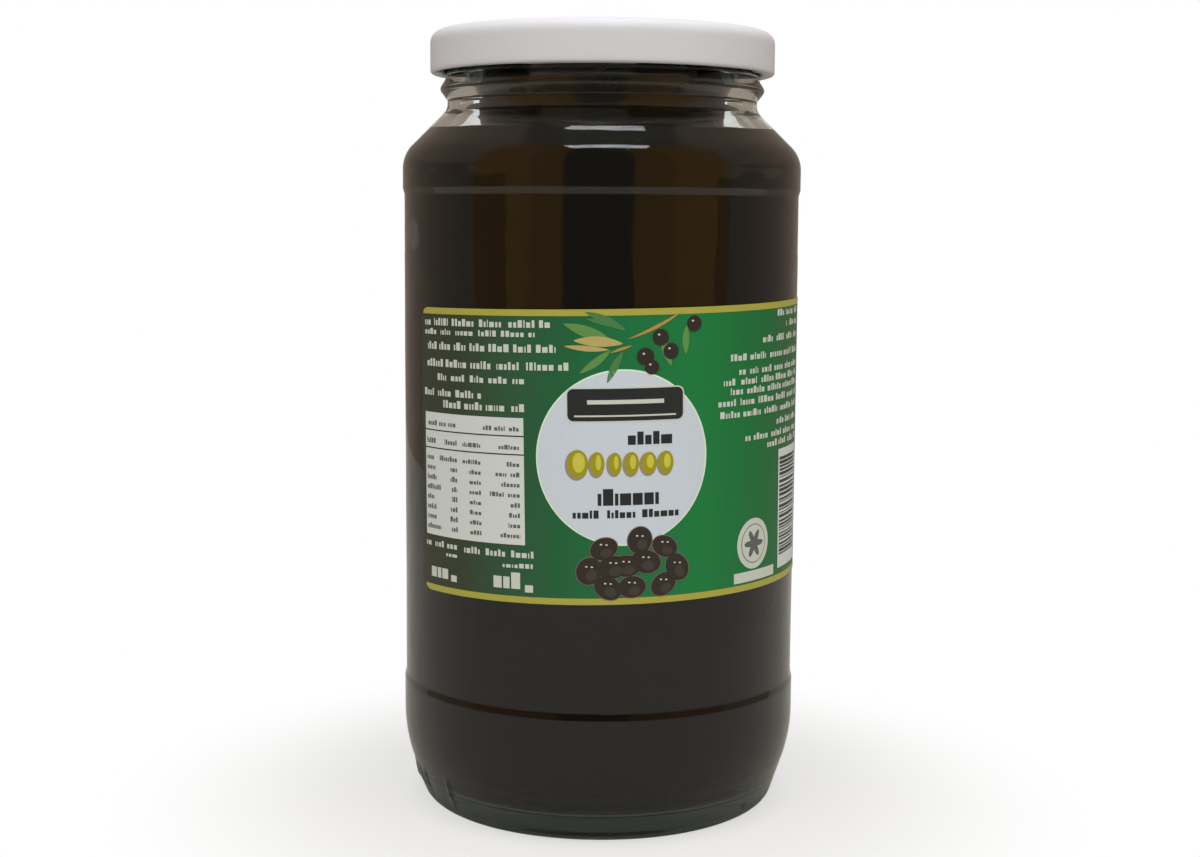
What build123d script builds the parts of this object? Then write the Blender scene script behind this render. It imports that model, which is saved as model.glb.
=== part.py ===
"""Jar of pitted black olives in brine, closed with a twist-off cap.

Millimetres and degrees, +Z up. The origin is the middle of the jar's base, on the surface it
stands on, and the front, where the middle of the label is, faces -Y.
"""

from build123d import *

import os
from math import cos, pi, radians, sin, tan

# Glass jar, outside
PANEL_R = 46.0          # recessed panel that carries the label
LOWER_BEAD_R = 46.35    # full width below the panel
UPPER_BEAD_R = 46.4     # full width above the panel
PANEL_BOTTOM_Z = 30.6
PANEL_TOP_Z = 142.6
STEP_HEIGHT = 1.5       # height of the step between a bead and the panel
HEEL_ANGLE = 18.8       # lean of the heel from upright
HEEL_FOOT_R = 40.93     # where the heel's cone would meet the table
HEEL_CORNER_R = 4.0
HEEL_BLEND_R = 35.0
CONTACT_INNER_R = 36.6  # inside of the ring that the jar stands on
PUNT_HEIGHT = 3.0       # hollow under the base
NECK_R = 36.0
NECK_Z = 162.25         # where the shoulder's 45 degree cone would meet the neck
SHOULDER_BLEND_R = 8.0
NECK_BLEND_R = 3.0

# Finish: transfer bead, wall and threads
BEAD_R = 37.95
BEAD_LOW_Z, BEAD_MID_Z, BEAD_HIGH_Z = 164.2, 166.7, 169.5
FINISH_R = 36.2
LIP_Z = 178.7
LIP_EDGE_R = 1.2
THREADS = 4
THREAD_R = 1.25         # radius of a thread's round section
THREAD_SINK = 0.15      # how far its middle lies outside the finish wall
THREAD_SPAN = 74.0
THREAD_LOW_Z = 172.7
THREAD_RISE = 3.2

# Glass jar, inside
WALL = 2.9
BORE_R = 33.0
FLOOR_Z = 5.8
FLOOR_DOME = 0.8
INNER_HEEL_R = 6.0

# Twist-off cap
CAP_R = 39.9
CAP_TOP_Z = 180.0
CAP_RIM_Z = 170.3
CAP_SHEET = 0.5
CAP_CORNER_R = 2.6
CAP_RING_INNER_R = 32.4  # raised ring over the sealing compound
CAP_PANEL_DROP = 0.8
CURL_R = 0.75
LUG_INNER_R = 36.95
LUG_HEIGHT = 0.9
LUG_SPAN = 40.0
LUG_TURN = -13.5        # first lug, from the front towards +X

# Paper label, wrapped a little askew
LABEL_THICKNESS = 0.12
LABEL_HEIGHT = 63.6
LABEL_FRONT_Z = 86.7    # middle of its height at the front
LABEL_LEFT = -65.6      # its ends, from the front towards +X
LABEL_RIGHT = 80.0
LABEL_SLOPE = 1.05
LABEL_CORNER_R = 3.0

# Contents
LEVEL_Z = 156.8
CONTENTS_GAP = 0.03
OLIVE_R = 9.2
HEAP_R = 30.2
HEAP_CORE_R = 25.0
HEAP_CORE_TOP = 167.5
OLIVES_ROUND = 7


def rounded_face(corners):
    """Face in the XZ plane through (r, z, radius) corners, each rounded to its radius."""
    points = [Vector(r, 0, z) for r, z, _ in corners]
    edges = []
    stops = []
    for i, (_, _, radius) in enumerate(corners):
        here = points[i]
        back = (points[i - 1] - here).normalized()
        ahead = (points[(i + 1) % len(points)] - here).normalized()
        if not radius:
            stops.append((here, here))
            continue
        half = radians(back.get_angle(ahead)) / 2
        inward = (back + ahead).normalized()
        middle = here + inward * (radius / sin(half) - radius)
        start = here + back * (radius / tan(half))
        end = here + ahead * (radius / tan(half))
        edges.append(ThreePointArc(start, middle, end))
        stops.append((start, end))
    for (_, end), (start, _) in zip(stops, stops[1:] + stops[:1]):
        if (start - end).length > 1e-6:
            edges.append(Line(end, start))
    return Face(Wire(edges))


def turned(corners):
    """Solid of revolution about Z."""
    return revolve(rounded_face(corners), Axis.Z)


def ring_point(radius, angle, z):
    """Point at an angle from the front (-Y) towards +X."""
    a = radians(angle)
    return Vector(radius * sin(a), -radius * cos(a), z)


def inner_corners(gap=0.0):
    """Corners of the cavity's outline, from the floor's middle up to the neck."""
    cone = tan(radians(HEEL_ANGLE))
    foot = HEEL_FOOT_R - WALL / cos(radians(HEEL_ANGLE)) - gap
    body = PANEL_R - WALL - gap
    shoulder = NECK_R + NECK_Z - (WALL + gap) / cos(radians(45))
    floor = FLOOR_Z + gap
    return [
        (0, floor + FLOOR_DOME, 0),
        (foot + cone * floor, floor, INNER_HEEL_R),
        (body, (body - foot) / cone, HEEL_BLEND_R - WALL),
        (body, shoulder - body, SHOULDER_BLEND_R - WALL),
        (BORE_R - gap, shoulder - BORE_R + gap, NECK_BLEND_R + WALL),
    ]


def thread(turn):
    """One sloping round ridge on the finish, with round ends."""
    radius = FINISH_R + THREAD_SINK
    path = Helix(THREAD_RISE * 360 / THREAD_SPAN, THREAD_RISE, radius)
    section = Plane(path @ 0, z_dir=path % 0) * Circle(THREAD_R)
    ridge = sweep(section, path=path, is_frenet=True)
    ridge += Pos(path @ 0) * Sphere(THREAD_R)
    ridge += Pos(path @ 1) * Sphere(THREAD_R)
    return Pos(0, 0, THREAD_LOW_Z) * Rot(0, 0, turn) * ridge


def jar():
    """Glass: heel, lower bead, label panel, shoulder, neck, transfer bead and threaded finish."""
    cone = tan(radians(HEEL_ANGLE))
    heel_top = (LOWER_BEAD_R - HEEL_FOOT_R) / cone
    outside = [
        (0, PUNT_HEIGHT, 0),
        (CONTACT_INNER_R - 2.4, PUNT_HEIGHT * 0.7, 4.0),
        (CONTACT_INNER_R, 0, 0.8),
        (HEEL_FOOT_R, 0, HEEL_CORNER_R),
        (LOWER_BEAD_R, heel_top, HEEL_BLEND_R),
        (LOWER_BEAD_R, PANEL_BOTTOM_Z - STEP_HEIGHT, 1.0),
        (PANEL_R, PANEL_BOTTOM_Z, 1.0),
        (PANEL_R, PANEL_TOP_Z, 1.0),
        (UPPER_BEAD_R, PANEL_TOP_Z + STEP_HEIGHT, 1.0),
        (UPPER_BEAD_R, NECK_Z + NECK_R - UPPER_BEAD_R, SHOULDER_BLEND_R),
        (NECK_R, NECK_Z, NECK_BLEND_R),
        (NECK_R, BEAD_LOW_Z, 0.7),
        (BEAD_R, BEAD_MID_Z, 1.3),
        (FINISH_R, BEAD_HIGH_Z, 1.0),
        (FINISH_R, LIP_Z, LIP_EDGE_R),
        (BORE_R, LIP_Z, LIP_EDGE_R),
    ]
    glass = turned(outside + inner_corners()[::-1])
    for i in range(THREADS):
        glass += thread(LUG_TURN - 90 - LUG_SPAN / 2 + i * 360 / THREADS)
    return glass


def lug(turn):
    """Inward tongue of the cap's rim that locks under a thread."""
    low = CAP_RIM_Z + 0.15
    outer = CAP_R - CURL_R
    tongue = rounded_face([
        (LUG_INNER_R, low, 0.2),
        (outer, low, 0),
        (outer, low + LUG_HEIGHT, 0),
        (LUG_INNER_R, low + LUG_HEIGHT, 0.2),
    ])
    return Rot(0, 0, turn - LUG_SPAN / 2 - 90) * revolve(tongue, Axis.Z, LUG_SPAN)


def lid():
    """Tinplate cap: raised ring over the lip, sunk middle panel, skirt, curled rim and lugs."""
    panel_top = CAP_TOP_Z - CAP_PANEL_DROP
    skirt_inner = CAP_R - CAP_SHEET
    curl_z = CAP_RIM_Z + CURL_R
    shell = turned([
        (0, panel_top, 0),
        (CAP_RING_INNER_R, panel_top, 0.4),
        (CAP_RING_INNER_R + 0.7, CAP_TOP_Z, 0.4),
        (CAP_R, CAP_TOP_Z, CAP_CORNER_R),
        (CAP_R, curl_z, 0),
        (skirt_inner, curl_z, 0),
        (skirt_inner, LIP_Z, CAP_CORNER_R - CAP_SHEET),
        (0, LIP_Z, 0),
    ])
    curl_section = Plane.XZ * Pos(CAP_R - CURL_R, curl_z) * Circle(CURL_R)
    shell += revolve(curl_section, Axis.Z)
    for i in range(THREADS):
        shell += lug(LUG_TURN + i * 360 / THREADS)
    return shell


def label():
    """Paper strip around the panel, its long edges climbing a little towards +X."""
    span = LABEL_RIGHT - LABEL_LEFT
    radius = PANEL_R + LABEL_THICKNESS / 2 + CONTENTS_GAP / 3
    rise = tan(radians(LABEL_SLOPE)) * radius * radians(span)
    path = Helix(rise * 360 / span, rise, radius)
    upright = Vector(0, 0, 1).cross(path % 0).cross(path % 0) * -1
    section = Plane(path @ 0, x_dir=upright, z_dir=path % 0) * Rectangle(LABEL_HEIGHT, LABEL_THICKNESS)
    strip = sweep(section, path=path, is_frenet=True)
    for end in (0, 1):
        along = (path % end) * (1 - 2 * end)
        for side in (-1, 1):
            corner = (path @ end) + upright * (side * LABEL_HEIGHT / 2)
            strip -= corner_waste(corner, along, upright * -side)
    start_z = LABEL_FRONT_Z + rise * LABEL_LEFT / span
    return Pos(0, 0, start_z) * Rot(0, 0, LABEL_LEFT - 90) * strip


def corner_waste(corner, along, inward):
    """What rounding takes off a sheet's corner; along and inward run into the sheet."""
    through = along.cross(inward).normalized()
    sheet = Plane(corner - through, x_dir=along, z_dir=through)
    square = Pos(LABEL_CORNER_R / 2, LABEL_CORNER_R / 2) * Rectangle(LABEL_CORNER_R, LABEL_CORNER_R)
    disc = Pos(LABEL_CORNER_R, LABEL_CORNER_R) * Circle(LABEL_CORNER_R)
    return extrude(sheet * (square - disc), 2)


def brine():
    """Dark packing liquid, filling the cavity up to its level."""
    cavity = inner_corners(CONTENTS_GAP)
    bore, top, _ = cavity[-1]
    liquid = turned(cavity + [(bore, LIP_Z, 0), (0, LIP_Z, 0)])
    return split(liquid, Plane.XY.offset(LEVEL_Z), keep=Keep.BOTTOM)


def olives():
    """Heap of pitted olives that stands out of the brine, up into the neck."""
    core = Pos(0, 0, LEVEL_Z) * Cylinder(
        HEAP_CORE_R, HEAP_CORE_TOP - LEVEL_Z, align=(Align.CENTER, Align.CENTER, Align.MIN))
    heap = core + Pos(0, 0, HEAP_CORE_TOP - 3) * Sphere(OLIVE_R)
    step = 360 / OLIVES_ROUND
    for i in range(OLIVES_ROUND):
        uneven = 0.35 * sin(2.4 * i)
        low = ring_point(HEAP_R - OLIVE_R + uneven, i * step, LEVEL_Z + 2.5)
        high = ring_point(HEAP_R - OLIVE_R - uneven, (i + 0.5) * step, LEVEL_Z + 8.5 + uneven)
        heap += Pos(low) * Sphere(OLIVE_R)
        heap += Pos(high) * Sphere(OLIVE_R)
    return split(heap, Plane.XY.offset(LEVEL_Z), keep=Keep.TOP)


os.makedirs("parts", exist_ok=True)
for name, make in {"jar": jar, "lid": lid, "label": label, "brine": brine, "olives": olives}.items():
    export_step(make(), f"parts/{name}.step")
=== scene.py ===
from math import ceil, cos, pi, radians, sin, tan

import bmesh
import bpy
import numpy as np
from mathutils import Matrix, Vector


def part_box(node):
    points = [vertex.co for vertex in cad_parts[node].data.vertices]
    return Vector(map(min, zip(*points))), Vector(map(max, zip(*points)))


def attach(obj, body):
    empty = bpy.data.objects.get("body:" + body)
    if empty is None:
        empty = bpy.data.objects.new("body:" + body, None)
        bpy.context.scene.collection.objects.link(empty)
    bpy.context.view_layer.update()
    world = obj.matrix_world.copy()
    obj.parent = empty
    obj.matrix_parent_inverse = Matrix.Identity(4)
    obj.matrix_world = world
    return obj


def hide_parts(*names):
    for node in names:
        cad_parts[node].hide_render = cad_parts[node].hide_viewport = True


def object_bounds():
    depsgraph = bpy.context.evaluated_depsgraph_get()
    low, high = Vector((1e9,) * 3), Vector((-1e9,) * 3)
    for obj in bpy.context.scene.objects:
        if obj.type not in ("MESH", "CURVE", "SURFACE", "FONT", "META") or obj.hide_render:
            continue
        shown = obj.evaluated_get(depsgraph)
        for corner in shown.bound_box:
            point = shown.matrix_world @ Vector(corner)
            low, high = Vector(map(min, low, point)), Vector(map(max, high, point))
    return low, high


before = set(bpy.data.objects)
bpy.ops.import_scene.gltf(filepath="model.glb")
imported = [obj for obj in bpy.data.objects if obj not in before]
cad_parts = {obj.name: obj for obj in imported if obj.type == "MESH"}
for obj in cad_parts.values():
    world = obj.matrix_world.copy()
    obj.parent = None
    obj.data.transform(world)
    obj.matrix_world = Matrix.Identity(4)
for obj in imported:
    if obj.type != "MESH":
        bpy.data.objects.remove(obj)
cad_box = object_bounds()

# ---- Glass jar ------------------------------------------------------------------------------
# The jar is clear flint glass, pressed and blown in a two-part mould: thick at the base, with a
# recessed panel for the label and a threaded finish under the cap. Lengths are in mm until they
# go into a mesh.

MM = 0.001
JAR_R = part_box("jar")[1].x / MM          # full width, at the upper bead
LIP_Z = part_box("jar")[1].z / MM
PANEL_R = JAR_R - 0.4
WALL = 2.9
BORE_R = 33.0
FINISH_R = BORE_R + 3.2
SHOULDER_SUM = 198.25                    # r + z along the shoulder's 45 degree cone, outside
HEEL_ANGLE = radians(18.8)
HEEL_LEAN = tan(HEEL_ANGLE)
HEEL_FOOT_R = 40.93
LOWER_BEAD_R = JAR_R - 0.05
FLOOR_Z = 5.8
BORE_LOW_Z = 176.0                       # where the bore's fine rows end
THREAD_LOW_Z = 172.7
THREAD_RISE = 3.2
THREAD_HIGH = 1.35
THREAD_START = radians(-53.5)
THREAD_SPAN = radians(74)
TURNS = 560                              # columns round the glass


def outline(corners, step):
    """Profile through (r, z, radius) corners in mm, as points at most a step apart.

    A corner is cut back by radius / tan(half its angle) and rounded about the point that lies
    radius / sin(half its angle) along its bisector.
    """
    at = np.array([c[:2] for c in corners], float)
    parts = [at[:1]]
    for i in range(1, len(corners)):
        radius = corners[i][2]
        arc = at[i:i + 1]
        if radius and i < len(corners) - 1:
            back, ahead = at[i - 1] - at[i], at[i + 1] - at[i]
            back, ahead = back / np.hypot(*back), ahead / np.hypot(*ahead)
            half = np.arccos(np.clip(back @ ahead, -1, 1)) / 2
            bisector = (back + ahead) / np.hypot(*(back + ahead))
            middle = at[i] + bisector * radius / np.sin(half)
            first = at[i] + back * radius / np.tan(half) - middle
            last = at[i] + ahead * radius / np.tan(half) - middle
            sweep = pi - 2 * half
            t = np.linspace(0, 1, max(4, ceil(radius * sweep / min(step, 0.9)) + 1))[:, None]
            arc = middle + (np.sin((1 - t) * sweep) * first + np.sin(t * sweep) * last) / np.sin(sweep)
        run = arc[0] - parts[-1][-1]
        count = max(1, ceil(np.hypot(*run) / step))
        parts.append(parts[-1][-1] + run * (np.arange(1, count)[:, None] / count))
        parts.append(arc)
    return np.vstack(parts)


def surface(name, points, quads, material, smooth=True):
    """Mesh object of mm points and faces; its faces are turned round if its volume is negative."""
    mesh = bpy.data.meshes.new(name)
    points = np.asarray(points, float).reshape(-1, 3) * MM
    quads = np.asarray(quads)
    a, b, c, d = (points[quads[:, i]] for i in (0, 1, 2, -1))
    if (a * np.cross(b, c)).sum() + (a * np.cross(c, d)).sum() < 0:
        quads = quads[:, ::-1]
    mesh.from_pydata(points.tolist(), [], quads.tolist())
    mesh.validate()
    mesh.update()
    if smooth:
        mesh.shade_smooth()
    else:
        mesh.shade_flat()
    mesh.materials.append(material)
    piece = bpy.data.objects.new(name, mesh)
    bpy.context.scene.collection.objects.link(piece)
    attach(piece, "root")
    return piece


def merged(piece, distance=1e-7):
    """Joins the points that a closed grid repeats at its seam and poles."""
    work = bmesh.new()
    work.from_mesh(piece.data)
    bmesh.ops.remove_doubles(work, verts=work.verts, dist=distance)
    bmesh.ops.dissolve_degenerate(work, edges=work.edges, dist=distance)
    work.to_mesh(piece.data)
    work.free()
    return piece


def grid_quads(rows, columns, count=1, wrap=False):
    """Quads of count grids of rows by columns points, closed along the columns if wrapped."""
    i, j = np.meshgrid(np.arange(rows - 1), np.arange(columns if wrap else columns - 1), indexing="ij")
    k = (j + 1) % columns
    one = np.stack([i * columns + j, i * columns + k, (i + 1) * columns + k, (i + 1) * columns + j], -1)
    return (one.reshape(1, -1, 4) + (np.arange(count) * rows * columns)[:, None, None]).reshape(-1, 4)


def turned(name, profile, turns, material, shift=None):
    """Closed surface of revolution of an (r, z) profile; shift(angle, z, r) moves it outwards.

    A point at an angle a from the front lies at (r sin a, -r cos a, z).
    """
    angle, r = np.meshgrid(np.arange(turns) * 2 * pi / turns, profile[:, 0])
    z = np.repeat(profile[:, 1:2], turns, 1)
    if shift is not None:
        r = r + shift(angle, z, r)
    points = np.stack([r * np.sin(angle), -r * np.cos(angle), z], -1)
    piece = surface(name, points, grid_quads(len(profile), turns, wrap=True), material)
    return merged(piece)


def linear(colour):
    """sRGB hex to the linear RGBA that a socket takes."""
    c = np.array([int(colour[i:i + 2], 16) for i in (1, 3, 5)]) / 255
    return (*np.where(c <= 0.04045, c / 12.92, ((c + 0.055) / 1.055) ** 2.4), 1.0)


def add(material, kind, sockets, feeds=(), **settings):
    """Adds a node with its settings and links.

    sockets maps an input to its value or to the output that feeds it, and feeds pairs an output
    of the node with the input that it goes to.
    """
    node = material.node_tree.nodes.new(kind)
    for name, value in settings.items():
        setattr(node, name, value)
    for name, value in sockets.items():
        if isinstance(value, bpy.types.NodeSocket):
            material.node_tree.links.new(value, node.inputs[name])
        else:
            node.inputs[name].default_value = value
    for name, target in feeds:
        material.node_tree.links.new(node.outputs[name], target)
    return node


def finish(name, **sockets):
    """New material, its Principled shader and its output; _ in a socket's name stands for a space."""
    material = bpy.data.materials.new(name)
    material.use_nodes = True
    shader = material.node_tree.nodes["Principled BSDF"]
    for key, value in sockets.items():
        shader.inputs[key.replace("_", " ")].default_value = value
    return material, shader, material.node_tree.nodes["Material Output"]


# Soda-lime glass, fire-polished: almost clear, faintly green where it is thick, with the long
# soft waves of a blown wall, about 11 mm apart and a tenth of a millimetre deep.
flint_glass, shader, output = finish("soda_lime_glass", Base_Color=linear("#fbfdfb"), Roughness=0.015,
                                     IOR=1.5, Transmission_Weight=1.0)
place = add(flint_glass, "ShaderNodeTexCoord", {})
waves = add(flint_glass, "ShaderNodeTexNoise", {
    "Vector": place.outputs["Object"], "Scale": 1 / (11.0 * MM), "Detail": 1.0})
add(flint_glass, "ShaderNodeBump", {"Height": waves.outputs["Fac"], "Distance": 0.12 * MM, "Strength": 1.0},
    [("Normal", shader.inputs["Normal"])])
add(flint_glass, "ShaderNodeVolumeAbsorption", {"Color": linear("#b4d2cb"), "Density": 14.0},
    [("Volume", output.inputs["Volume"])])

shoulder = [
    (JAR_R, SHOULDER_SUM - JAR_R, 8.0),
    (FINISH_R - 0.2, SHOULDER_SUM - FINISH_R + 0.2, 3.0),
    (FINISH_R - 0.2, 164.2, 0.7),
    (37.95, 166.7, 1.3),
    (FINISH_R, 169.5, 1.0),
    (FINISH_R, 170.2, 0),
]
outside = outline([
    (0, 3.0, 0),                         # middle of the pushed-up base
    (34.2, 2.1, 4.0),
    (36.6, 0, 0.8),                      # contact ring
    (HEEL_FOOT_R, 0, 4.0),
    (LOWER_BEAD_R, (LOWER_BEAD_R - HEEL_FOOT_R) / HEEL_LEAN, 35.0),
    (LOWER_BEAD_R, 29.1, 1.0),
    (PANEL_R, 30.6, 1.0),
    (PANEL_R, 142.6, 1.0),
    (JAR_R, 144.1, 1.0),
] + shoulder, 2.6)
finish_wall = outline([
    (FINISH_R, 170.2, 0),
    (FINISH_R, LIP_Z, 1.2),
    (BORE_R, LIP_Z, 1.2),
    (BORE_R, BORE_LOW_Z, 0),
], 0.42)


def cavity(gap):
    """Inside of the glass from the bore down to the middle of the floor, drawn in by a gap."""
    foot = HEEL_FOOT_R - WALL / cos(HEEL_ANGLE) - gap
    body = PANEL_R - WALL - gap
    cone = SHOULDER_SUM - (WALL + gap) / cos(pi / 4)
    return [
        (BORE_R - gap, cone - BORE_R + gap, 5.9),
        (body, cone - body, 5.1),
        (body, (body - foot) / HEEL_LEAN, 32.1),
        (foot + HEEL_LEAN * (FLOOR_Z + gap), FLOOR_Z + gap, 6.0),
        (0, FLOOR_Z + gap + 0.8, 0),
    ]


inside = outline([(BORE_R, BORE_LOW_Z, 0)] + cavity(0), 3.4)
HEEL_MARKS = radians(-91) + np.radians([0, 8, 14, 19, 34])
MARK_Z = 6.8
MARK_WIDE, MARK_TALL = 0.7, 2.0          # half sizes
MARK_HIGH = 0.6                          # how far a mark stands out


def glass_relief(angle, z, r):
    """Waves of the blown wall, four sloping threads on the finish, and marks on the heel.

    A thread is a ridge of half-round section about z = low + rise * (turn along it).
    """
    waves = 0.035 * np.sin(3 * angle + z / 9) * np.sin(z / 13 + 1) + 0.02 * np.sin(7 * angle - z / 17)
    turn = np.mod(angle - THREAD_START, pi / 2) / THREAD_SPAN
    ridge = np.clip(1 - ((z - THREAD_LOW_Z - THREAD_RISE * turn) / THREAD_HIGH) ** 2, 0, 1)
    run_out = np.clip(np.minimum(turn, 1 - turn) * 12, 0, 1)
    on_finish = (r > FINISH_R - 0.6) & (z > 170.0)
    relief = np.where(on_finish, THREAD_HIGH * np.sqrt(ridge) * run_out, waves * (z < 160))
    for mark in HEEL_MARKS:
        across = (np.mod(angle - mark + pi, 2 * pi) - pi) * r / MARK_WIDE
        up = (z - MARK_Z) / MARK_TALL
        relief = relief + MARK_HIGH * np.exp(-across ** 2 - up ** 4) * (r > 41)
    return relief * (r > 30.5) * (z < 178.2)


glass_profile = np.vstack([outside, finish_wall[1:], inside[1:]])
jar = turned("jar_glass", glass_profile, TURNS, flint_glass, glass_relief)
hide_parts("jar")

# ---- Brine ----------------------------------------------------------------------------------
# The packing liquid: water and salt, stained almost black-brown by the olives. It wets the glass,
# so its edge climbs the wall in a small meniscus, and it reaches just into the wall.

LEVEL_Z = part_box("brine")[1].z / MM
MENISCUS = 0.5                           # how far the edge climbs
MENISCUS_REACH = 1.6                     # how far from the wall it fades
INTO_WALL = 0.05

# Brine: clear liquid stained brown, dark within a few millimetres. The glass over it gives the
# gloss, so its own surface adds none.
liquid, shader, output = finish("stained_brine", Base_Color=linear("#ffffff"), Roughness=0.0, IOR=1.34,
                                Transmission_Weight=1.0, Specular_Tint=linear("#000000"))
add(liquid, "ShaderNodeVolumeAbsorption", {"Color": linear("#8f6434"), "Density": 500.0},
    [("Volume", output.inputs["Volume"])])

full = outline([(BORE_R, BORE_LOW_Z, 0)] + cavity(-INTO_WALL), 2.5)
wetted = full[full[:, 1] < LEVEL_Z + MENISCUS]
edge_r = wetted[0, 0]
creep = np.linspace(0, 1, 14)[:, None]
climb = (wetted[0, 1] - LEVEL_Z) * np.exp((creep - 1) * edge_r / MENISCUS_REACH)
top = np.hstack([edge_r * creep, LEVEL_Z + climb])
brine = turned("brine_liquid", np.vstack([top[:-1], wetted]), 256, liquid)
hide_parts("brine")

# Fine olive flesh hangs in the brine and hides what is deeper than a few millimetres: a matt dark
# brown cloud, a little uneven over distances of about 26 mm.
HAZE_DEPTH = 2.2
HAZE_TOP = LEVEL_Z - HAZE_DEPTH
haze, shader, output = finish("clouded_brine", Roughness=1.0, Specular_IOR_Level=0.0)
place = add(haze, "ShaderNodeTexCoord", {})
cloud = add(haze, "ShaderNodeTexNoise", {
    "Vector": place.outputs["Object"], "Scale": 1 / (26.0 * MM), "Detail": 2.0})
add(haze, "ShaderNodeMix", {"Factor": cloud.outputs["Fac"], "A": linear("#382c15"), "B": linear("#44351b")},
    [("Result", shader.inputs["Base Color"])], data_type="RGBA")
below = [(r, min(z, HAZE_TOP), rounding) for r, z, rounding in cavity(HAZE_DEPTH)[1:]]
turned("brine_haze", outline([(0, HAZE_TOP, 0)] + below, 4.0), 128, haze)

# ---- Olives ---------------------------------------------------------------------------------
# Ripe black olives, pitted by machine: a round hole punched in one end and a slit dent in the
# other. Their skins are wet, smooth and nearly black. They are packed loose, and rise into the neck.

OLIVE_LONG = 10.8                        # half length
OLIVE_WIDE = 8.6                         # half width
HOLE_R = 2.3
HOLE_DEEP = 7.0
SLIT_DEEP = 1.5
rng = np.random.default_rng(7)

# Skin of a ripe olive: thin, waxy and wet, nearly black, with faint brown mottling 3 mm across.
skin, shader, output = finish("black_olive_skin", Roughness=0.3, Specular_IOR_Level=0.22)
place = add(skin, "ShaderNodeTexCoord", {})
mottle = add(skin, "ShaderNodeTexNoise", {
    "Vector": place.outputs["Object"], "Scale": 1 / (3.0 * MM), "Detail": 4.0})
add(skin, "ShaderNodeMix", {"Factor": mottle.outputs["Fac"], "A": linear("#17110c"), "B": linear("#2e2318")},
    [("Result", shader.inputs["Base Color"])], data_type="RGBA")
add(skin, "ShaderNodeBump", {"Height": mottle.outputs["Fac"], "Distance": 0.15 * MM, "Strength": 1.0},
    [("Normal", shader.inputs["Normal"])])


def olive_grid():
    """One pitted olive about the origin, long axis X: (rows, columns, 3) in mm.

    An ellipsoid x = a cos t, r = b sin t. Its start is replaced by the punched hole, and its far
    end is drawn in where the pit was pushed out.
    """
    lip = np.arcsin(HOLE_R / OLIVE_WIDE)
    t = np.linspace(lip, pi, 13)
    hole_end = OLIVE_LONG - HOLE_DEEP
    x = np.concatenate([[hole_end, hole_end, OLIVE_LONG - 0.9], OLIVE_LONG * np.cos(t)])
    r = np.concatenate([[0, HOLE_R * 0.8, HOLE_R * 0.85], OLIVE_WIDE * np.sin(t)])
    x[-1] += SLIT_DEEP
    a = np.linspace(0, 2 * pi, 17)
    return np.stack([np.repeat(x[:, None], 17, 1), np.outer(r, np.cos(a)), np.outer(r, np.sin(a))], -1)


def olives(name, centres, turn, tip, size):
    """Olives at centres, turned about Z, tipped and scaled, as one mesh of closed grids."""
    one = olive_grid()
    ct, st, cp, sp = np.cos(turn), np.sin(turn), np.cos(tip), np.sin(tip)
    zero = np.zeros_like(ct)
    spin = np.stack([np.stack([ct * cp, -st, ct * sp], -1), np.stack([st * cp, ct, st * sp], -1),
                     np.stack([-sp, zero, cp], -1)], 1)
    points = np.einsum("nij,rcj->nrci", spin, one) * size[:, None, None, None] + centres[:, None, None, :]
    rows, columns = one.shape[:2]
    quads = grid_quads(rows, columns, len(centres))
    return merged(surface(name, points, quads, skin), 1e-6)


def around(radius, angle, z):
    """Points at angles from the front, in mm."""
    return np.stack([radius * np.sin(angle), -radius * np.cos(angle), z], -1)


LAYERS, ROUND = 8, 11                    # sunk olives near the wall: layers, and olives in each
LAYER_HIGH = 17.2
layer, seat = np.meshgrid(np.arange(LAYERS), np.arange(ROUND), indexing="ij")
count = layer.size
angle = ((seat + 0.5 * (layer % 2)) * 2 * pi / ROUND).ravel() + rng.uniform(-0.12, 0.12, count)
height = 18.0 + layer.ravel() * LAYER_HIGH + rng.uniform(-2.5, 2.5, count)
reach = np.where(height < 22, 29.5, 32.3) + rng.uniform(-1.5, 0.6, count)
olives("olives_sunk", around(reach, angle, height), angle + rng.uniform(-0.5, 0.5, count),
       rng.uniform(-1.2, 1.2, count), rng.uniform(0.9, 1.04, count))

# The heap: two rings of seven, one above the other, and five olives in the middle.
RING = 7
HEAP_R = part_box("olives")[1].x / MM - 9.2
ring = np.arange(RING) * 2 * pi / RING
heap_angle = np.concatenate([ring, ring + pi / RING, ring[::2] + 0.3, [0.0]])
heap_reach = np.repeat([HEAP_R, HEAP_R, 10.5, 0.0], [RING, RING, 4, 1])
heap_z = LEVEL_Z + np.repeat([1.5, 9.3, 7.0, 8.0], [RING, RING, 4, 1])
heap_z = heap_z + rng.uniform(-0.7, 0.7, heap_z.size)
heap_turn = heap_angle + rng.uniform(-0.35, 0.35, heap_z.size)
heap = olives("olives_heap", around(heap_reach, heap_angle, heap_z), heap_turn,
              rng.uniform(-0.25, 0.25, heap_z.size), rng.uniform(0.93, 1.0, heap_z.size))
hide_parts("olives")
CORE_R = 28.5
core = outline([
    (0, LEVEL_Z - 4, 0),
    (CORE_R, LEVEL_Z - 4, 3),
    (CORE_R, LEVEL_Z + 10.5, 5),
    (0, LEVEL_Z + 13, 0),
], 3.0)
turned("olives_core", core, 48, skin)

# ---- Cap ------------------------------------------------------------------------------------
# A twist-off cap, drawn from tinplate and stoved with white lacquer. Its rim is curled inwards,
# and the curl's inner side is pressed in at four places as the lugs that hold under the threads.

CAP_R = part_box("lid")[1].x / MM
CAP_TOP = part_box("lid")[1].z / MM
CAP_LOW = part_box("lid")[0].z / MM
SHEET = 0.45
CURL_R = 0.75
LUG_TURN = radians(-13.5)
LUG_HALF = radians(20)
LUG_PRESS = 1.75

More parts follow.
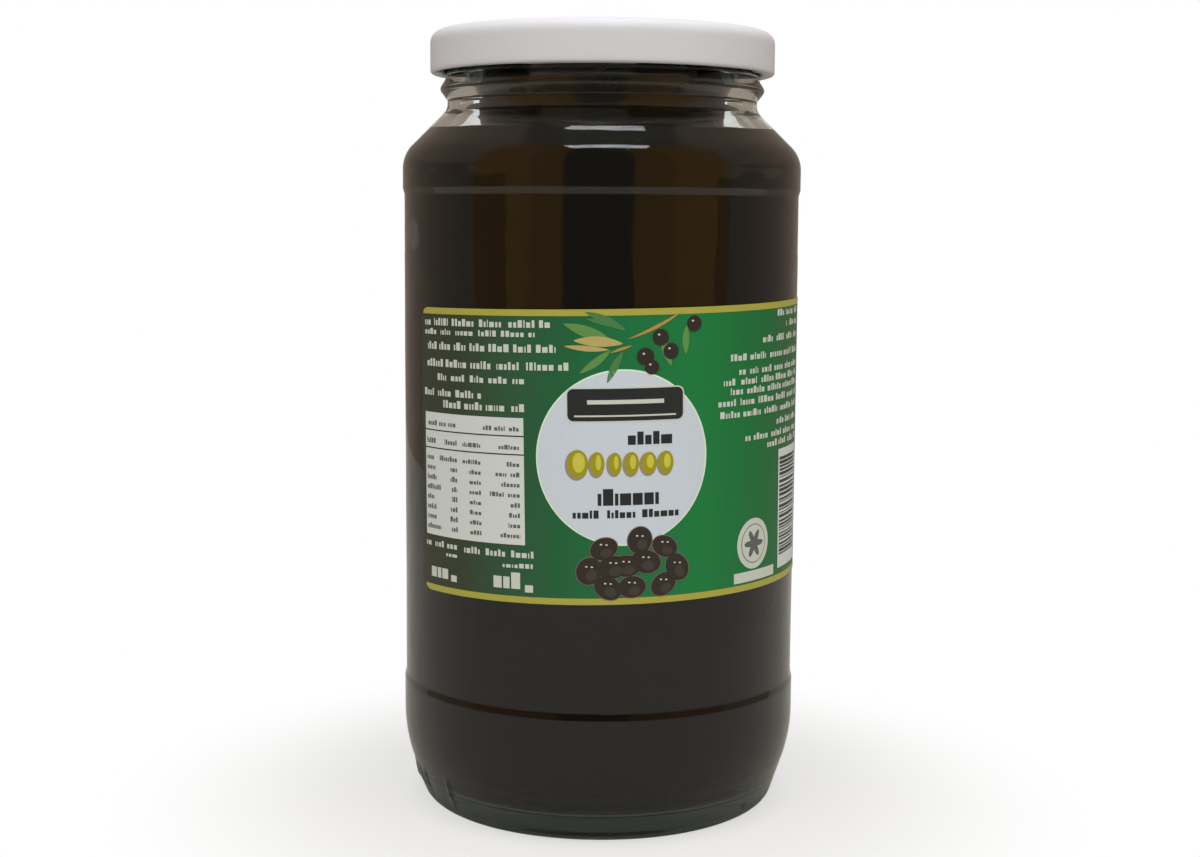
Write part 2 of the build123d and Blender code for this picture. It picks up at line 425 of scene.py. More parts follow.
# White stoving lacquer over tinplate: a soft satin gloss, faint orange peel 2 mm across, and
# patches 14 mm across that handling has dulled.
lacquer, shader, output = finish("white_lacquer_on_tinplate", Base_Color=linear("#cfd0d6"), IOR=1.5,
                                 Coat_Weight=0.2, Coat_Roughness=0.3)
place = add(lacquer, "ShaderNodeTexCoord", {})
peel = add(lacquer, "ShaderNodeTexNoise", {
    "Vector": place.outputs["Object"], "Scale": 1 / (2.2 * MM), "Detail": 2.0})
add(lacquer, "ShaderNodeBump", {"Height": peel.outputs["Fac"], "Distance": 0.04 * MM, "Strength": 1.0},
    [("Normal", shader.inputs["Normal"])])
scuff = add(lacquer, "ShaderNodeTexNoise", {
    "Vector": place.outputs["Object"], "Scale": 1 / (14.0 * MM), "Detail": 5.0})
add(lacquer, "ShaderNodeMapRange", {
    "Value": scuff.outputs["Fac"], "From Min": 0.35, "From Max": 0.7, "To Min": 0.4, "To Max": 0.5},
    [("Result", shader.inputs["Roughness"])])

SUNK = CAP_TOP - 0.8                     # panel, below the raised outer ring
RAISED = CAP_TOP - 0.45                  # ring pressed into the panel
CURL_Z = CAP_LOW + CURL_R
UNDER = LIP_Z + 0.02                     # underside, on the glass lip
cap_outside = outline([
    (0, SUNK, 0), (14.0, SUNK, 1.0),
    (15.0, RAISED, 1.0), (28.0, RAISED, 1.0),
    (29.2, SUNK, 1.0), (32.4, SUNK, 0.7),
    (33.3, CAP_TOP, 0.7), (CAP_R, CAP_TOP, 2.6),
    (CAP_R, CURL_Z, 0),
], 1.0)
curl = np.linspace(0, pi, 12)[1:-1, None]
cap_curl = np.array([CAP_R - CURL_R, CURL_Z]) + CURL_R * np.hstack([np.cos(curl), -np.sin(curl)])
cap_inside = outline([
    (CAP_R - 2 * CURL_R, CURL_Z, 0),
    (CAP_R - 1.3, CAP_LOW + 1.6, 0.3),
    (CAP_R - SHEET, CAP_LOW + 2.2, 0.5),
    (CAP_R - SHEET, UNDER, 2.1),
    (0, UNDER, 0),
], 1.0)


def lug_press(angle, z, r):
    """Inward push of the curl's inner side at the lugs, fading out 2.6 mm above the rim.

    Both fades are smooth steps, 3 s^2 - 2 s^3 of a share s.
    """
    off = np.abs(np.mod(angle - LUG_TURN + pi / 4, pi / 2) - pi / 4)
    along = np.clip((LUG_HALF - off) / radians(3), 0, 1)
    low = np.clip((CAP_LOW + 2.6 - z) / 2.0, 0, 1)
    inner = (r > 37) & (r < CAP_R - 0.6)
    return -LUG_PRESS * (along ** 2 * (3 - 2 * along)) * (low ** 2 * (3 - 2 * low)) * inner


cap_profile = np.vstack([cap_outside, cap_curl, cap_inside])
cap = turned("cap_shell", cap_profile, 400, lacquer, lug_press)
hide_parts("lid")

# ---- Label paper ----------------------------------------------------------------------------
# A varnished paper label, wet-glued round the panel a degree askew. It is printed deep green,
# darker towards its left end, between golden borders, and its corners are rounded.

LABEL_R = PANEL_R + 0.13                 # printed face
LABEL_MIDDLE_Z = 86.7                    # at the front
LABEL_HIGH = 31.8                        # half its height
LABEL_LEFT, LABEL_RIGHT = -52.8, 64.4    # along the paper from the front
LABEL_SLOPE = radians(1.05)
GOLD = 1.4                               # width of the golden borders
INK = 0.02                               # one printed layer
UV_MM = 100.0                            # paper along one unit of its UV map


def wrapped(u, v, lift):
    """Point of the paper, u along it and v up it in mm, laid on the panel at a lift above it.

    The paper turns by its slope and its length becomes an angle of u / radius.
    """
    along = u * cos(LABEL_SLOPE) - v * sin(LABEL_SLOPE)
    z = LABEL_MIDDLE_Z + u * sin(LABEL_SLOPE) + v * cos(LABEL_SLOPE)
    angle = along / LABEL_R
    radius = LABEL_R + lift
    return np.stack([radius * np.sin(angle), -radius * np.cos(angle), z], -1)


def printed(name, uv, lift, material, thick=INK):
    """Grids of (u, v) in mm, shaped (n, rows, columns, 2), as a thin closed layer on the label."""
    n, rows, columns = uv.shape[:3]
    face = wrapped(uv[..., 0], uv[..., 1], lift)
    back = wrapped(uv[..., 0], uv[..., 1], lift - thick)
    i, j = np.arange(rows), np.arange(columns)
    rim = np.concatenate([
        j, i[1:] * columns + columns - 1, (rows - 1) * columns + j[-2::-1], i[-2:0:-1] * columns])
    size = rows * columns
    side = np.stack([rim, rim + size, np.roll(rim, -1) + size, np.roll(rim, -1)], -1)
    front = grid_quads(rows, columns)
    one = np.concatenate([front, front[:, ::-1] + size, side])
    quads = (one[None] + (np.arange(n) * 2 * size)[:, None, None]).reshape(-1, 4)
    points = np.stack([face.reshape(n, size, 3), back.reshape(n, size, 3)], 1)
    piece = surface(name, points, quads, material, smooth=False)
    flat = np.tile(uv.reshape(n, 1, size, 2), (1, 2, 1, 1)).reshape(-1, 2)
    layer = piece.data.uv_layers.new(name="paper")
    corner = np.zeros(len(piece.data.loops), int)
    piece.data.loops.foreach_get("vertex_index", corner)
    layer.data.foreach_set("uv", (flat[corner] / UV_MM + 0.5).ravel())
    return piece


def varnished(name, colour, grain):
    """Ink under a press varnish, its colour mottled a little as it is on coated paper.

    colour is a hex, or a function that adds its own nodes and gives the output to use.
    """
    material, shader, output = finish(name, Roughness=0.4, Specular_IOR_Level=0.3)
    place = add(material, "ShaderNodeTexCoord", {})
    fibre = add(material, "ShaderNodeTexNoise", {
        "Vector": place.outputs["Object"], "Scale": 1 / (0.9 * MM), "Detail": 4.0})
    level = add(material, "ShaderNodeMapRange", {
        "Value": fibre.outputs["Fac"], "To Min": 1 - grain, "To Max": 1 + grain})
    tone = colour(material) if callable(colour) else linear(colour)
    add(material, "ShaderNodeHueSaturation", {"Color": tone, "Value": level.outputs["Result"]},
        [("Color", shader.inputs["Base Color"])])
    add(material, "ShaderNodeBump", {"Height": fibre.outputs["Fac"], "Distance": 0.01 * MM, "Strength": 1.0},
        [("Normal", shader.inputs["Normal"])])
    return material


def green_field(material):
    """Deep olive green at the left end, full green past the middle, a little darker at the right."""
    place = add(material, "ShaderNodeUVMap", {}, uv_map="paper")
    split = add(material, "ShaderNodeSeparateXYZ", {"Vector": place.outputs["UV"]})
    ramp = add(material, "ShaderNodeValToRGB", {"Fac": split.outputs["X"]})
    stops = [
        (0.0, "#33382a"), (0.12, "#33402c"), (0.24, "#2c5439"), (0.36, "#1e6039"),
        (0.5, "#18713f"), (0.68, "#137b3e"), (0.8, "#137138"), (1.0, "#166130"),
    ]
    while len(ramp.color_ramp.elements) < len(stops):
        ramp.color_ramp.elements.new(0.5)
    for element, (at, colour) in zip(ramp.color_ramp.elements, stops):
        element.position = at
        element.color = linear(colour)
    return ramp.outputs["Color"]


def filled(cu, cv, outline_u, outline_v, rings):
    """Filled outlines about centres: (n, rings + 1, points, 2), each ring a smaller copy.

    outline_u and outline_v hold one outline for every centre, or one for them all.
    """
    share = np.linspace(1, 0, rings + 1)[None, :, None]
    u = np.reshape(cu, (-1, 1, 1)) + share * np.atleast_2d(outline_u)[:, None, :]
    v = np.reshape(cv, (-1, 1, 1)) + share * np.atleast_2d(outline_v)[:, None, :]
    return np.stack([u, v], -1)


def bars(left, right, low, high, columns):
    """Plain rectangles as (n, 2, columns, 2) grids, for arrays of edges."""
    left, right, low, high = np.broadcast_arrays(*(np.asarray(e, float) for e in (left, right, low, high)))
    u = left.ravel()[:, None] + (right - left).ravel()[:, None] * np.linspace(0, 1, columns)
    v = np.stack([low.ravel(), high.ravel()], -1)
    return np.stack(np.broadcast_arrays(u[:, None, :], v[:, :, None]), -1)


CORNER_R = 3.0
corner_u = CORNER_R * (1 - np.cos(np.linspace(0, pi / 2, 9)))
u = np.linspace(LABEL_LEFT, LABEL_RIGHT, 96)
u = np.unique(np.concatenate([u, LABEL_LEFT + corner_u, LABEL_RIGHT - corner_u]))
inset = np.clip(CORNER_R - np.minimum(u - LABEL_LEFT, LABEL_RIGHT - u), 0, CORNER_R)
edge = LABEL_HIGH - CORNER_R + np.sqrt(np.clip(CORNER_R ** 2 - inset ** 2, 0, None))
paper_uv = np.stack([np.broadcast_to(u, (9, u.size)), np.linspace(-1, 1, 9)[:, None] * edge], -1)[None]
field = varnished("green_varnished_paper", green_field, grain=0.06)
paper = printed("label_paper", paper_uv, 0.0, field, thick=0.12)
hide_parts("label")

gold = varnished("gold_ink", "#a9a544", grain=0.05)
band_u = u[(u > LABEL_LEFT + 0.6) & (u < LABEL_RIGHT - 0.6)]
band_top = np.interp(band_u, u, edge)
band_low = np.minimum(band_top - 0.05, LABEL_HIGH - GOLD)
band = np.stack([np.broadcast_to(band_u, (2, band_u.size)), np.stack([band_low, band_top])], -1)
printed("print_gold_borders", np.stack([band, band * (1, -1)]), 2 * INK, gold)

# ---- Disc, plate and word row ---------------------------------------------------------------
# The middle of the print: a pale disc with a thin light rim, a dark plate with two plain lines, a
# row of golden ovals with a soft shadow where a name could stand, and rows of small dark blocks
# for the small lines. Each layer lies one INK above the one that it covers.

DISC_R = 19.0
DISC_U = 0.3
turn = np.arange(121) * 2 * pi / 120


def oval(u, v, half_u, half_v, rings):
    """One filled circle or oval, whose halves may also be given for each point of its outline."""
    return filled([u], [v], half_u * np.cos(turn), half_v * np.sin(turn), rings)


pale = varnished("pale_disc_ink", "#c7d2dc", grain=0.03)
rim_ink = varnished("light_rim_ink", "#d6ecd4", grain=0.03)
printed("print_disc_rim", oval(DISC_U, 0, DISC_R, DISC_R, 14), 2 * INK, rim_ink)
printed("print_disc", oval(DISC_U, 0, DISC_R - 0.35, DISC_R - 0.35, 14), 3 * INK, pale)


def plate_outline(half_u, half_v, corner):
    """Rounded rectangle about the origin, closed, in steps of at most 1.6 mm."""
    a = np.arange(48) * 2 * pi / 48 + pi / 48
    ru = corner * np.cos(a) + np.sign(np.cos(a)) * (half_u - corner)
    rv = corner * np.sin(a) + np.sign(np.sin(a)) * (half_v - corner)
    ring = np.stack([ru, rv], -1)
    steps = []
    for p, q in zip(ring, np.roll(ring, -1, 0)):
        count = max(2, ceil(np.hypot(*(q - p)) / 1.6) + 1)
        steps.append(np.linspace(p, q, count)[:-1])
    return np.vstack(steps + [ring[:1]]).T


PLATE_U, PLATE_V = 0.95, 11.45
black = varnished("black_ink", "#272b2c", grain=0.08)
white = varnished("white_ink", "#c6cdc3", grain=0.03)
plate_edge = filled([PLATE_U], [PLATE_V], *plate_outline(12.9, 3.75, 1.5), 8)
printed("print_plate_edge", plate_edge, 4 * INK, white)
plate = filled([PLATE_U], [PLATE_V], *plate_outline(12.6, 3.45, 1.3), 8)
printed("print_plate", plate, 5 * INK, black)
plate_line = bars([-10.2, -7.4], [11.9, 9.2], [8.9, 11.6], [9.25, 12.5], 15)
printed("print_plate_line", plate_line, 6 * INK, white)

OVAL_V = -1.2
oval_u = np.array([-9.6, -5.4, -1.6, 2.0, 5.8, 9.6])
oval_wide = np.array([2.3, 1.55, 1.45, 1.6, 1.75, 1.7])
oval_tall = np.array([3.1, 2.6, 2.4, 2.5, 2.4, 2.5])
oval_turn = np.arange(25) * 2 * pi / 24
oval_cos, oval_sin = np.cos(oval_turn), np.sin(oval_turn)


def oval_row(grow, du, dv):
    """The row of ovals, grown by a margin and moved."""
    ru = (oval_wide + grow)[:, None] * oval_cos
    rv = (oval_tall + grow)[:, None] * oval_sin
    return filled(oval_u + du, np.full(oval_u.size, OVAL_V + dv), ru, rv, 3)


shadow = varnished("soft_shadow_ink", "#8f8d86", grain=0.05)
golden = varnished("golden_ink", "#9d941a", grain=0.07)
golden_light = varnished("golden_light_ink", "#c7c247", grain=0.07)
printed("print_oval_shadow", oval_row(0.18, -0.28, -0.3), 4 * INK, shadow)
printed("print_ovals", oval_row(0, 0, 0), 5 * INK, golden)
printed("print_oval_lights", oval_row(-0.95, 0.25, 0.3), 6 * INK, golden_light)


def words(left, right, low, high, seed, gap=0.34, mean=0.72):
    """Short blocks of uneven width and height along each line, a few left out as the gaps of words."""
    lot = np.random.default_rng(seed)
    boxes = []
    for start, stop, foot, top in zip(*np.broadcast_arrays(*np.atleast_1d(left, right, low, high))):
        n = max(1, round((stop - start) / (mean + gap)))
        share = lot.uniform(0.55, 1.45, n)
        cut = start + np.concatenate([[0], np.cumsum(share / share.sum())]) * (stop - start + gap)
        tops = top - np.where(lot.random(n) < 0.65, 0.28, 0.0) * (top - foot)
        row = np.stack([cut[:-1], cut[1:] - gap, np.full(n, foot), tops], -1)
        if n > 8:
            shift, every = lot.integers(0, 5), lot.integers(5, 8)
            row = row[(np.arange(n) + shift) % every != 0]
        boxes.append(row)
    return bars(*np.concatenate(boxes).T, 4)


dark_lines = np.array([(1.2, 11.0, 2.8, 5.6), (-5.4, 7.9, -10.2, -6.6)])
printed("print_dark_lines", words(*dark_lines.T, 6, mean=1.5), 4 * INK, black)
small_lines = words(-10.8, 12.4, -12.95, -11.2, 2, gap=0.3, mean=0.95)
printed("print_small_lines", small_lines, 4 * INK, black)

# ---- Small print ----------------------------------------------------------------------------
# Lines of small print are rows of small plain blocks, white on the green and grey on the white
# table of values. A white panel of dark stripes and a plain roundel stand at the right end.
# Each line is its left, right, low and high edge on the paper.

left_lines = np.array([
    (-51.0, -15.2, 27.9, 29.5), (-51.0, -18.6, 25.9, 27.2), (-51.0, -14.0, 22.6, 24.3),
    (-51.2, -11.3, 18.8, 20.5), (-46.4, -21.2, 15.8, 17.3), (-51.5, -32.0, 12.3, 13.9),
    (-43.8, -21.3, 9.8, 11.5), (-51.4, -39.8, -21.6, -20.2), (-37.5, -19.6, -21.9, -20.4),
    (-43.5, -39.8, -23.4, -22.5), (-27.0, -19.8, -24.2, -23.2),
])
printed("print_left_lines", words(*left_lines.T, 3), 3 * INK, white)
large_lines = np.array([
    (-49.3, -42.9, -28.6, -25.4), (-41.9, -40.0, -28.9, -26.9),
    (-29.4, -22.8, -28.8, -25.2), (-21.7, -19.8, -29.4, -27.2),
])
printed("print_large_bars", words(*large_lines.T, 4, gap=0.4, mean=1.5), 3 * INK, white)

right_starts = np.array([43.0, 48.0, 36.0, 26.0, 28.5, 24.0, 26.0, 22.5, 23.0, 43.0, 30.5, 38.0])
right_middles = np.array([29.3, 26.8, 23.8, 20.3, 17.2, 15.0, 12.9, 10.5, 7.9, 5.0, 2.4, 0.2])
right_lines = words(right_starts, 57.5, right_middles - 0.7, right_middles + 0.8, 5)
printed("print_right_lines", right_lines, 3 * INK, white)

TABLE_LEFT, TABLE_RIGHT, TABLE_LOW, TABLE_TOP = -51.3, -21.5, -19.1, 8.5
table_ink = varnished("table_white_ink", "#cfd6d4", grain=0.03)
grey = varnished("grey_ink", "#5a6360", grain=0.08)
printed("print_table", bars(TABLE_LEFT, TABLE_RIGHT, TABLE_LOW, TABLE_TOP, 22), 3 * INK, table_ink)
rules = np.array([4.4, 0.4])
printed("print_table_rules", bars(TABLE_LEFT, TABLE_RIGHT, rules, rules + 0.28, 22), 4 * INK, black)

# Columns of the table: first row, left edges, right edges and height of the blocks.
row_low = np.concatenate([[5.6, 1.6], -2.1 - 2.22 * np.arange(8)])
table_columns = [
    (0, -50.6, [-39.0, -47.0, -47.8, -47.2, -46.8, -45.2, -47.8, -47.0, -47.0, -45.2], 1.15),
    (1, [-43.5, -45.4, -41.6, -41.6, -41.2, -41.2, -41.6, -41.8, -41.4], -39.4, 1.15),
    (1, [-37.6, -37.6] + [-35.6] * 7, -32.4, 0.95),
    (0, [-31.6, -27.6, -25.6, -29.0, -27.0, -30.0, -24.8, -25.2, -25.4, -27.4], -22.6, 1.0),
]
cells = np.concatenate([
    np.stack(np.broadcast_arrays(left, right, row_low[first:], row_low[first:] + tall), -1)
    for first, left, right, tall in table_columns])
printed("print_table_values", words(*cells.T, 8, gap=0.22, mean=0.5), 4 * INK, grey)

PANEL_LEFT, PANEL_RIGHT, PANEL_LOW, PANEL_TOP = 44.2, 58.0, -29.0, -1.6
printed("print_line_panel", bars(PANEL_LEFT, PANEL_RIGHT, PANEL_LOW, PANEL_TOP, 10), 3 * INK, table_ink)
lot = np.random.default_rng(21)
stripe = lot.choice([0.22, 0.34, 0.5, 0.7], 34)
space = lot.choice([0.25, 0.32, 0.5], 34)
stripe_low = PANEL_LOW + 3.0 + np.concatenate([[0], np.cumsum(stripe + space)[:-1]])
stripe_top = stripe_low + stripe
keep = stripe_top < PANEL_TOP - 1.8
stripes = bars(PANEL_LEFT + 0.7, PANEL_RIGHT - 1.2, stripe_low[keep], stripe_top[keep], 10)
printed("print_line_stripes", stripes, 4 * INK, black)

ROUNDEL = (33.6, -21.5)
petal = 2.4 + 0.9 * np.cos(6 * turn)
printed("print_roundel", oval(*ROUNDEL, 5.6, 5.7, 5), 3 * INK, white)
printed("print_roundel_ring", oval(*ROUNDEL, 4.3, 4.4, 4), 4 * INK, grey)
printed("print_roundel_heart", oval(*ROUNDEL, 4.1, 4.2, 4), 5 * INK, white)
printed("print_roundel_flower", oval(*ROUNDEL, petal, petal, 3), 6 * INK, grey)
printed("print_roundel_tag", bars(27.0, 42.0, -29.9, -27.6, 9), 3 * INK, white)

# ---- Printed sprig and olives ---------------------------------------------------------------
# A plain pattern of olive leaves and fruit at the top of the disc, and a cluster of glossy dark
# olives at its foot, in a few flat tones each.


def leaves(rows):
    """Pointed leaves, each a row of root u and v, length, heading in degrees, half width w, bend.

    The half width is w sin(pi t) ^ 0.8 either side of a midrib that bends by t squared.
    """
    root_u, root_v, length, heading, width, bend = np.transpose(rows)[:, :, None, None]
    t = np.linspace(0, 1, 17)[None, :, None]
    s = np.linspace(-1, 1, 5)[None, None, :]
    along = length * t
    across = bend * t ** 2 + s * width * np.clip(np.sin(pi * t), 0, 1) ** 0.8
    c, d = np.cos(np.radians(heading)), np.sin(np.radians(heading))
    return np.stack([root_u + along * c - across * d, root_v + along * d + across * c], -1)


leaf_green = varnished("leaf_green_ink", "#5f8f4a", grain=0.12)
leaf_dark = varnished("leaf_dark_ink", "#4a7f49", grain=0.12)
leaf_pale = varnished("leaf_straw_ink", "#b3a765", grain=0.1)
stalk = varnished("stalk_ink", "#b08c45", grain=0.1)
fruit = varnished("printed_olive_ink", "#322b27", grain=0.15)
fruit_edge = varnished("printed_olive_edge_ink", "#6b665f", grain=0.1)
glint = varnished("glint_ink", "#c9c9c4", grain=0.05)

green_leaves = leaves([
    (-1.2, 24.2, 12.0, 152, 1.25, 1.2), (-2.2, 23.2, 8.4, 222, 0.8, -0.8), (9.0, 25.8, 6.6, -78, 0.9, 0.6),
    (14.6, 28.0, 6.2, -98, 0.8, 0.6), (4.8, 22.4, 4.6, -76, 0.8, 0.5),
])
dark_leaves = leaves([
    (1.0, 27.2, 9.5, 150, 0.9, 0.8), (0.4, 22.8, 7.6, 238, 0.8, 0.6), (-7.5, 29.8, 8.0, -12, 0.5, -0.5),
])
straw_leaves = leaves([(0.4, 24.4, 10.6, 172, 1.1, 0.7), (-2.6, 23.2, 9.6, 178, 0.6, -0.5)])
stalks = leaves([(13.4, 31.0, 13.2, 212, 0.36, -1.6), (2.4, 24.0, 5.0, 195, 0.3, 0.2)])
printed("print_leaves_green", green_leaves, 3 * INK, leaf_green)
printed("print_leaves_dark", dark_leaves, 3 * INK, leaf_dark)
printed("print_leaves_straw", straw_leaves, 4 * INK, leaf_pale)
printed("print_stalk", stalks, 4 * INK, stalk)

berry_u = np.array([5.2, 8.6, 10.9, 16.4, 6.6])
berry_v = np.array([21.6, 25.6, 22.6, 28.3, 19.3])
berry_r = np.array([1.9, 1.8, 1.75, 1.75, 1.6])[:, None]
berries = filled(berry_u, berry_v, berry_r * oval_cos, berry_r * oval_sin, 2)
berry_glints = filled(berry_u - 0.4, berry_v + 0.6, 0.28 * oval_cos, 0.2 * oval_sin, 1)
printed("print_sprig_olives", berries, 5 * INK, fruit)
printed("print_sprig_glints", berry_glints, 6 * INK, glint)

pile_u = np.array([-4.2, 3.6, 9.2, -7.4, 12.0, -2.2, 4.9, 8.8, -3.4, 1.8, 0.6])
pile_v = np.array([-19.6, -17.9, -19.5, -24.4, -24.2, -23.6, -22.6, -27.7, -28.1, -28.0, -23.4])
pile_long = np.array([3.1, 3.0, 3.0, 3.1, 3.2, 3.5, 3.4, 3.1, 3.2, 3.1, 3.3])
pile_wide = np.array([2.4, 2.7, 2.3, 2.8, 2.6, 2.5, 2.6, 2.4, 2.5, 2.4, 2.4])
pile_turn = np.radians([20, 75, -25, 60, -60, 10, -12, 35, -30, 5, 0])


def pile(grow, du, dv, shrink=1.0):
    """The cluster's ovals, grown by a margin, moved, or shrunk to their highlights."""
    a, b = (pile_long * shrink + grow)[:, None], (pile_wide * shrink + grow)[:, None]
    c, d = np.cos(pile_turn)[:, None], np.sin(pile_turn)[:, None]
    ou, ov = a * oval_cos, b * oval_sin
    return filled(pile_u + du, pile_v + dv, ou * c - ov * d, ou * d + ov * c, 2)


printed("print_pile_edges", pile(0.12, 0, 0), 4 * INK, fruit_edge)
for i, olive in enumerate(pile(-0.08, 0, 0)):
    printed(f"print_pile_olive_{i}", olive[None], (5 + 0.25 * i) * INK, fruit)
sheen = varnished("olive_sheen_ink", "#413b36", grain=0.1)
printed("print_pile_sheen", pile(0, 0.5, -0.9, 0.42), 8.2 * INK, sheen)
glint_u = np.concatenate([pile_u - 0.6, pile_u + 0.6])
glint_v = np.concatenate([pile_v + 1.0, pile_v + 0.9])
pile_glints = filled(glint_u, glint_v, 0.26 * oval_cos, 0.17 * oval_sin, 1)
printed("print_pile_glints", pile_glints, 9 * INK, glint)

# ---- Stage: floor, light and camera ---------------------------------------------------------
# A pale floor that fades to white away from the jar, a white surround, broad soft lights at the
# sides and the top, a smaller lamp above the front, and the camera a little under the jar's
# shoulder. Glowing cards out of view, which the camera never sees, paint dark and brown
# reflections on the glass and cap, and painted shade in what the glass shows through it.
# Lengths are in metres from here on.

HIGH = cad_box[1][2]
FLOOR_HALF = 6.0
FADE_START, FADE_END = 0.05, 0.12        # from the jar's axis
FADE_LEAST = 0.66
WORLD_FILL = 0.34                        # how bright diffuse rays find the surround

floor_mesh = bpy.data.meshes.new("floor")
floor_mesh.from_pydata([(-FLOOR_HALF, -FLOOR_HALF, 0), (FLOOR_HALF, -FLOOR_HALF, 0),
                        (FLOOR_HALF, FLOOR_HALF, 0), (-FLOOR_HALF, FLOOR_HALF, 0)], [], [(0, 1, 2, 3)])
floor = bpy.data.objects.new("floor", floor_mesh)
bpy.context.scene.collection.objects.link(floor)
paint, shader, output = finish("pale_floor", Base_Color=linear("#b6b2a8"), Roughness=0.9,
                               Specular_IOR_Level=0.1)
place = add(paint, "ShaderNodeTexCoord", {})
reach = add(paint, "ShaderNodeVectorMath", {"Vector": place.outputs["Object"]}, operation="LENGTH")
fade = add(paint, "ShaderNodeMapRange", {
    "Value": reach.outputs["Value"], "From Min": FADE_START, "From Max": FADE_END, "To Min": FADE_LEAST},
    interpolation_type="SMOOTHSTEP")
path = add(paint, "ShaderNodeLightPath", {})
part = add(paint, "ShaderNodeMath", {0: fade.outputs["Result"], 1: path.outputs["Is Camera Ray"]},
           operation="MULTIPLY")
glow = add(paint, "ShaderNodeEmission", {"Color": linear("#ffffff"), "Strength": 1.0})
add(paint, "ShaderNodeMixShader", {
    0: part.outputs["Value"], 1: shader.outputs["BSDF"], 2: glow.outputs["Emission"]},
    [("Shader", output.inputs["Surface"])])
floor_mesh.materials.append(paint)

world = bpy.data.worlds.new("surround")
bpy.context.scene.world = world
world.use_nodes = True
background = world.node_tree.nodes["Background"]
background.inputs["Color"].default_value = linear("#ffffff")
path = add(world, "ShaderNodeLightPath", {})
seen = add(world, "ShaderNodeMath", {0: path.outputs["Is Camera Ray"], 1: path.outputs["Is Glossy Ray"]},
           operation="MAXIMUM")
seen = add(world, "ShaderNodeMath", {0: seen.outputs["Value"], 1: path.outputs["Is Transmission Ray"]},
           operation="MAXIMUM")
add(world, "ShaderNodeMapRange", {"Value": seen.outputs["Value"], "To Min": WORLD_FILL, "To Max": 1.0},
    [("Result", background.inputs["Strength"])])


def soft_light(name, place, size, power, colour, glossy):
    """Rectangular lamp at a place, aimed at the jar's middle; glossy rays see it only if glossy."""
    lamp = bpy.data.lights.new(name, "AREA")
    lamp.shape = "RECTANGLE"
    lamp.size, lamp.size_y = size
    lamp.energy = power
    lamp.color = linear(colour)[:3]
    holder = bpy.data.objects.new(name, lamp)
    holder.location = place
    holder.rotation_euler = (Vector((0, 0, HIGH / 2)) - Vector(place)).to_track_quat("-Z", "Y").to_euler()
    holder.visible_glossy = glossy
    bpy.context.scene.collection.objects.link(holder)


soft_light("left_softbox", (-1.1, -0.9, 0.75), (0.9, 1.2), 6.4, "#fff0e0", False)
soft_light("right_softbox", (1.1, -0.9, 0.75), (0.9, 1.2), 6.4, "#fff0e0", False)
soft_light("top_softbox", (0.0, -0.25, 1.5), (0.8, 0.8), 18.0, "#f8faff", False)
soft_light("front_lamp", (-0.02, -0.75, 0.95), (0.36, 0.3), 1.7, "#f6f9ff", True)


def flag(name, corners, colour, rays=("glossy", "transmission")):
    """Glowing card out of the view: a painted reflection or painted shade that only the given kinds of ray see.
    """
    card_mesh = bpy.data.meshes.new(name)
    card_mesh.from_pydata(corners, [], [(0, 1, 2, 3)])
    card = bpy.data.objects.new(name, card_mesh)
    bpy.context.scene.collection.objects.link(card)
    paint, shader, output = finish(name + "_paint", Base_Color=linear("#000000"), Roughness=1.0,
                                   Specular_IOR_Level=0.0, Emission_Color=linear(colour), Emission_Strength=1.0)
    card_mesh.materials.append(paint)
    for other in {"camera", "diffuse", "glossy", "transmission", "shadow", "volume_scatter"} - set(rays):
        setattr(card, "visible_" + other, False)


def level_card(name, half_x, half_y, z, colour, **rays):
    """Level card over or under the jar."""
    flag(name, [(-half_x, -half_y, z), (half_x, -half_y, z), (half_x, half_y, z), (-half_x, half_y, z)],
         colour, **rays)


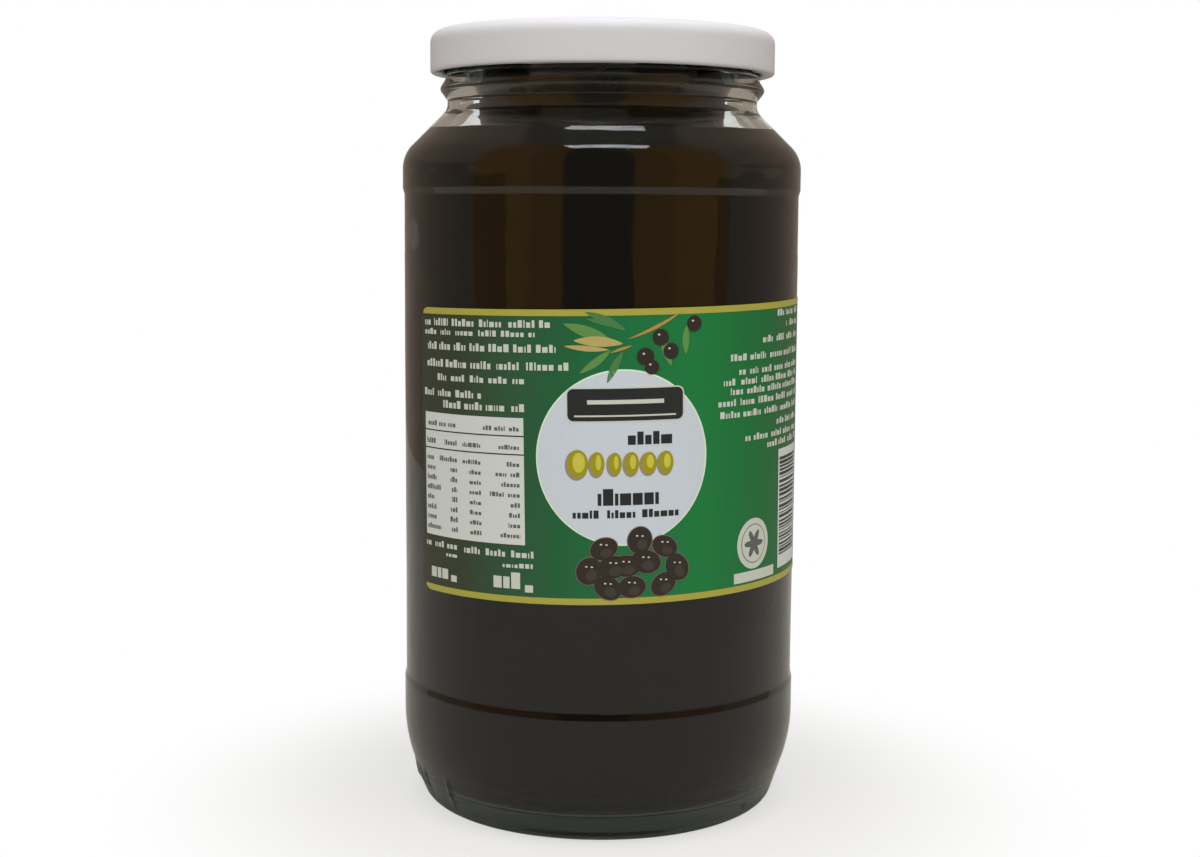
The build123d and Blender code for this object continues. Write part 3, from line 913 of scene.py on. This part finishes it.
def upright_card(name, first, last, away, low, high, colour, **rays):
    """Upright card between two angles in degrees from the front, at a distance from the axis."""
    a, b = radians(first), radians(last)
    flag(name, [(away * sin(a), -away * cos(a), low), (away * sin(b), -away * cos(b), low),
                (away * sin(b), -away * cos(b), high), (away * sin(a), -away * cos(a), high)], colour, **rays)


# Glowing cards that glossy and transmission rays see: painted reflections, grey overhead, a dark stripe behind
# the camera, brown either side of it, paler and greyer further round.
level_card("roof_flag", 1.5, 1.5, 1.5, "#77736a")
# Dark glowing cards that only transmission rays see: painted shade on the floor under the jar and low round it,
# which the base and lower wall show through the glass.
level_card("floor_painted_shade_card", 0.3, 0.4, 0.0003, "#333735", rays=("transmission",))
for k in range(6):
    upright_card(f"low_flag_{k}", 60 + 40 * k, 100 + 40 * k, 0.3, -0.01, 0.165, "#333735",
                 rays=("transmission",))
upright_card("middle_flag", -27, 12, 0.66, -0.3, 1.4, "#57544c")
upright_card("near_flag_left", -46, -27, 0.70, -0.3, 1.4, "#8c7049")
upright_card("side_flag_left", -81, -46, 0.80, -0.3, 1.5, "#9a7a4e")
upright_card("far_flag_left", -171, -81, 0.85, -0.3, 1.5, "#9a8c7e")
upright_card("near_flag_right", 12, 34, 0.70, -0.3, 1.4, "#8c7049")
upright_card("side_flag_right", 34, 69, 0.80, -0.3, 1.5, "#9a7a4e")
upright_card("far_flag_right", 69, 159, 0.85, -0.3, 1.5, "#9a8c7e")

CAMERA_TURN = radians(-6.0)              # from the front
CAMERA_AWAY = 0.4372
CAMERA_HIGH = 0.1383
CAMERA_TILT = radians(6.6)
CAMERA_ROLL = radians(0.4)
camera_data = bpy.data.cameras.new("camera")
camera_data.sensor_width = 36.0
camera_data.lens = 55.5
camera = bpy.data.objects.new("camera", camera_data)
camera.location = (CAMERA_AWAY * sin(CAMERA_TURN), -CAMERA_AWAY * cos(CAMERA_TURN), CAMERA_HIGH)
camera.rotation_euler = (Matrix.Rotation(CAMERA_TURN, 3, "Z") @ Matrix.Rotation(pi / 2 - CAMERA_TILT, 3, "X")
                         @ Matrix.Rotation(CAMERA_ROLL, 3, "Z")).to_euler()
bpy.context.scene.collection.objects.link(camera)
bpy.context.scene.camera = camera
bpy.context.scene.view_settings.view_transform = "Standard"
